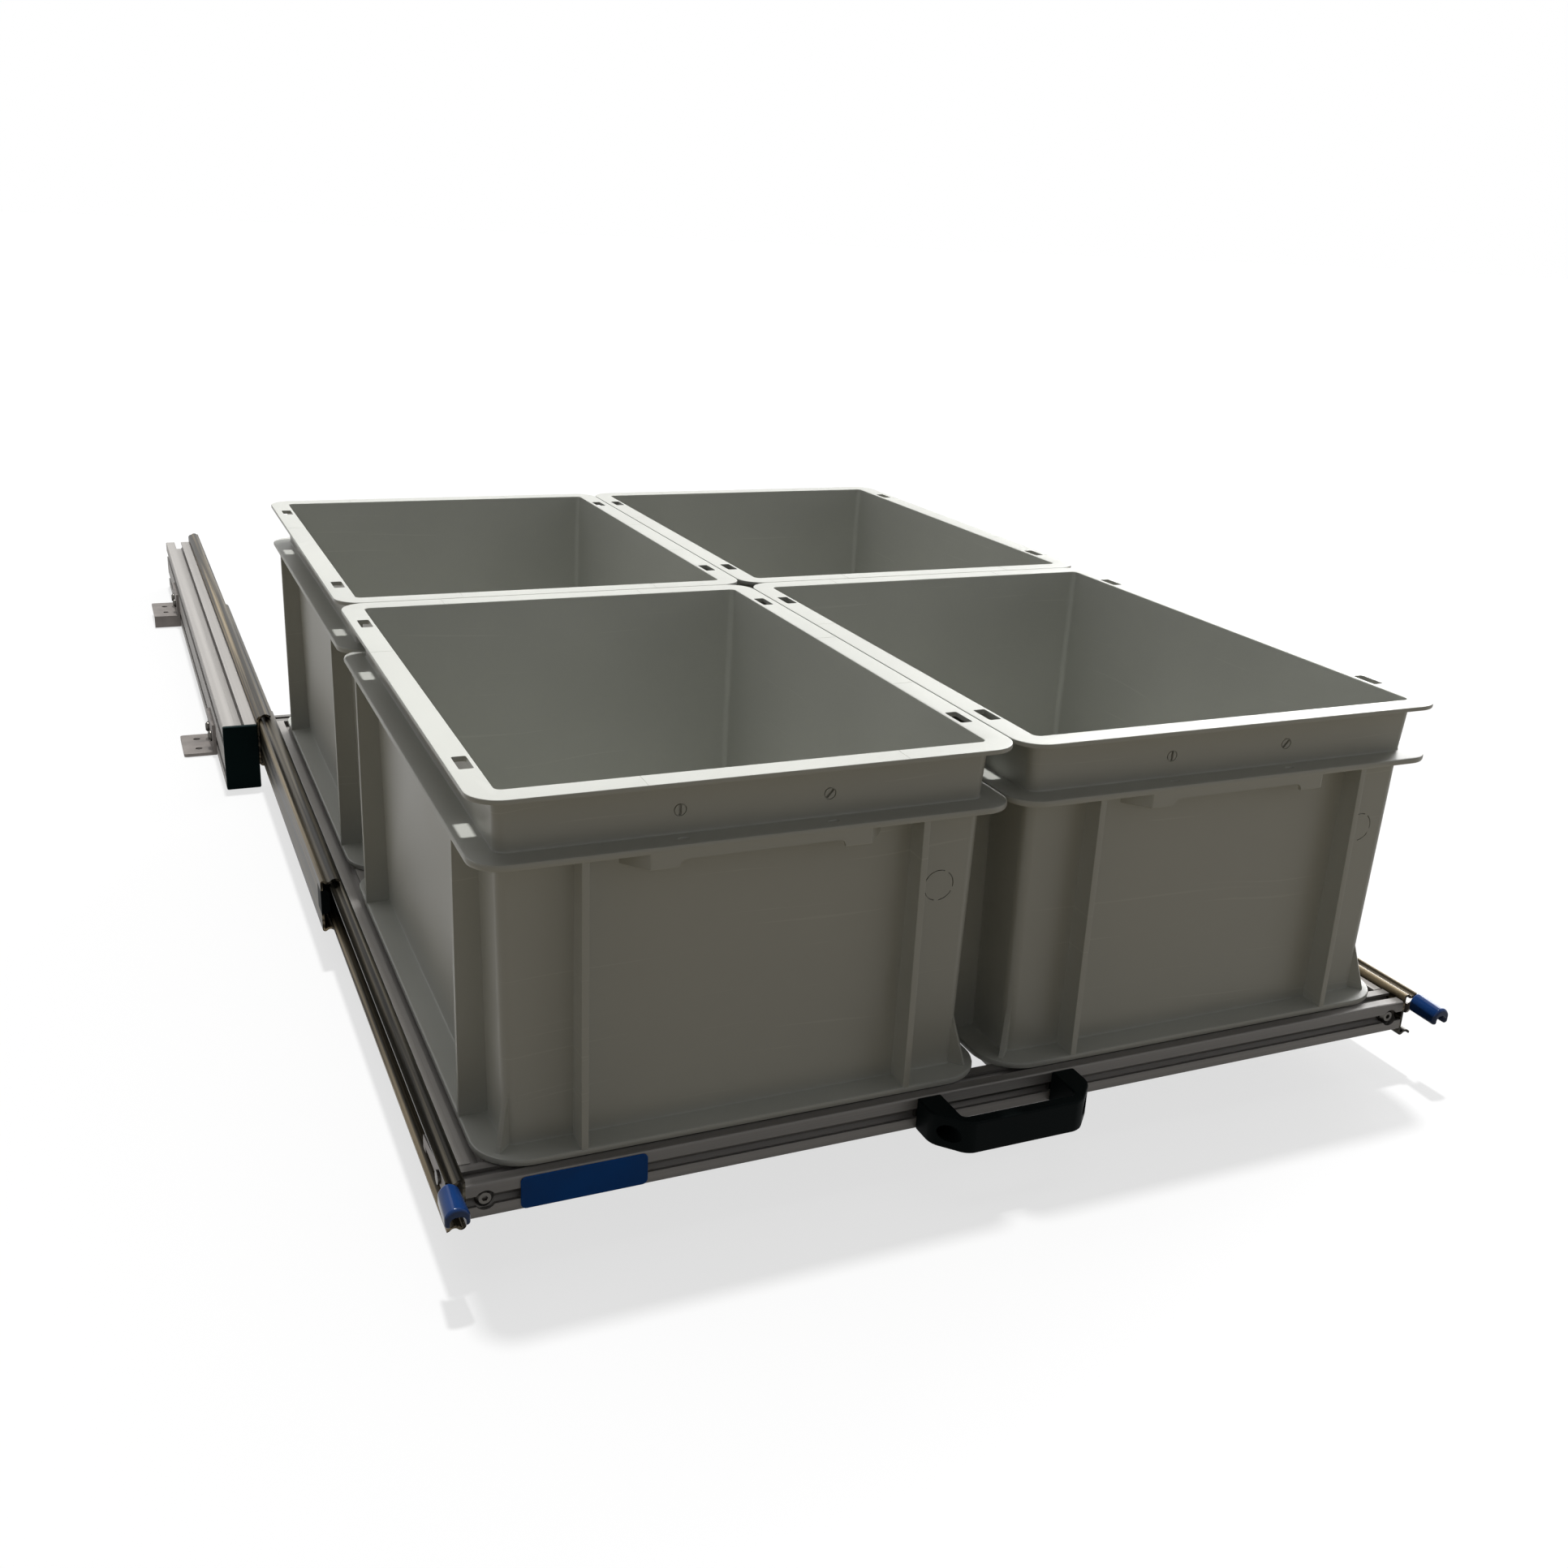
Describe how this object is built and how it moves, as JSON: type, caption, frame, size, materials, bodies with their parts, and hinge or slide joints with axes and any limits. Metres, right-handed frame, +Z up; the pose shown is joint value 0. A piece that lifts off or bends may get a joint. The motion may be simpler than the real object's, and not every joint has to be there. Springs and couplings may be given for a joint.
{
  "type": "pull-out bin frame",
  "caption": "Slotted-beam tray on telescopic ball slides between two floor-fixed profiles, with a bow handle, lock levers and lift-out stacking bins.",
  "frame": {"origin": "centre of the overall box at floor level, tray pulled right out", "axes": "+X to the unit's right seen from its front, +Y from the handle back into the cabinet, +Z up"},
  "size_m": [0.7742, 1.659, 0.2553],
  "materials": {
    "bin_plastic": "smooth",
    "slotted_aluminium": "satin anodised",
    "zinc_steel": "bright zinc plated",
    "cage_steel": "plain",
    "ball_steel": "polished",
    "spring_steel": "plain",
    "fastener_steel": "zinc plated",
    "black_plastic": "fine grain",
    "blue_plastic": "smooth",
    "blue_plate": "smooth"
  },
  "bodies": {
    "fixed_rails": {"left_rail_profile": "slotted_aluminium", "left_rail_cap": "black_plastic", "left_front_bracket": "zinc_steel", "left_rear_bracket": "zinc_steel", "left_outer_member": "zinc_steel", "right_rail_profile": "slotted_aluminium", "right_rail_cap": "black_plastic", "right_front_bracket": "zinc_steel", "right_rear_bracket": "zinc_steel", "right_outer_member": "zinc_steel", "bracket_bolts": "fastener_steel", "rail_slot_nuts": "fastener_steel", "outer_member_screws": "fastener_steel"},
    "middle_members": {"left_middle_member": "zinc_steel", "right_middle_member": "zinc_steel", "left_middle_stop": "black_plastic", "right_middle_stop": "black_plastic"},
    "outer_cages": {"left_outer_cage": "cage_steel", "right_outer_cage": "cage_steel", "outer_balls": "ball_steel"},
    "inner_cages": {"left_inner_cage": "cage_steel", "right_inner_cage": "cage_steel", "inner_balls": "ball_steel"},
    "drawer": {"front_beam": "slotted_aluminium", "rear_beam": "slotted_aluminium", "cross_beam": "slotted_aluminium", "left_beam": "slotted_aluminium", "right_beam": "slotted_aluminium", "beam_end_screws": "fastener_steel", "left_drawer_member": "zinc_steel", "right_drawer_member": "zinc_steel", "drawer_member_screws": "fastener_steel", "beam_slot_nuts": "fastener_steel", "handle": "black_plastic", "handle_screws": "fastener_steel", "handle_slot_nuts": "fastener_steel", "front_plate": "blue_plate", "left_lever_pin": "fastener_steel", "right_lever_pin": "fastener_steel", "left_lever_spring": "spring_steel", "right_lever_spring": "spring_steel"},
    "left_lever": {"left_lever_arm": "zinc_steel", "left_lever_grip": "blue_plastic"},
    "right_lever": {"right_lever_arm": "zinc_steel", "right_lever_grip": "blue_plastic"},
    "front_left_bin_body": {"front_left_bin": "bin_plastic"},
    "front_right_bin_body": {"front_right_bin": "bin_plastic"},
    "rear_left_bin_body": {"rear_left_bin": "bin_plastic"},
    "rear_right_bin_body": {"rear_right_bin": "bin_plastic"}
  },
  "joints": [
    {"name": "drawer_slide", "type": "slide", "parent": "fixed_rails", "child": "drawer", "axis": [0, -1, 0], "range_m": [-0.765, 0]},
    {"name": "middle_slide", "type": "slide", "parent": "fixed_rails", "child": "middle_members", "axis": [0, -1, 0], "range_m": [-0.3825, 0]},
    {"name": "outer_cage_slide", "type": "slide", "parent": "fixed_rails", "child": "outer_cages", "axis": [0, -1, 0], "range_m": [-0.19125, 0]},
    {"name": "inner_cage_slide", "type": "slide", "parent": "fixed_rails", "child": "inner_cages", "axis": [0, -1, 0], "range_m": [-0.57375, 0]},
    {"name": "left_lever_hinge", "type": "hinge", "parent": "drawer", "child": "left_lever", "pos_m": [-0.3145, -0.7675, 0.043], "axis": [1, 0, 0], "range_deg": [0, 8], "stiffness_Nm_per_rad": 0.4, "springref_deg": -8.59},
    {"name": "right_lever_hinge", "type": "hinge", "parent": "drawer", "child": "right_lever", "pos_m": [0.3145, -0.7675, 0.043], "axis": [1, 0, 0], "range_deg": [0, 8], "stiffness_Nm_per_rad": 0.4, "springref_deg": -8.59},
    {"name": "front_left_bin_lift", "type": "slide", "parent": "drawer", "child": "front_left_bin_body", "axis": [0, 0, 1], "range_m": [0, 0.25]},
    {"name": "front_right_bin_lift", "type": "slide", "parent": "drawer", "child": "front_right_bin_body", "axis": [0, 0, 1], "range_m": [0, 0.25]},
    {"name": "rear_left_bin_lift", "type": "slide", "parent": "drawer", "child": "rear_left_bin_body", "axis": [0, 0, 1], "range_m": [0, 0.25]},
    {"name": "rear_right_bin_lift", "type": "slide", "parent": "drawer", "child": "rear_right_bin_body", "axis": [0, 0, 1], "range_m": [0, 0.25]}
  ],
  "couplings": [
    {"joint": "middle_slide", "follows": "drawer_slide", "ratio": 0.5},
    {"joint": "outer_cage_slide", "follows": "drawer_slide", "ratio": 0.25},
    {"joint": "inner_cage_slide", "follows": "drawer_slide", "ratio": 0.75}
  ]
}
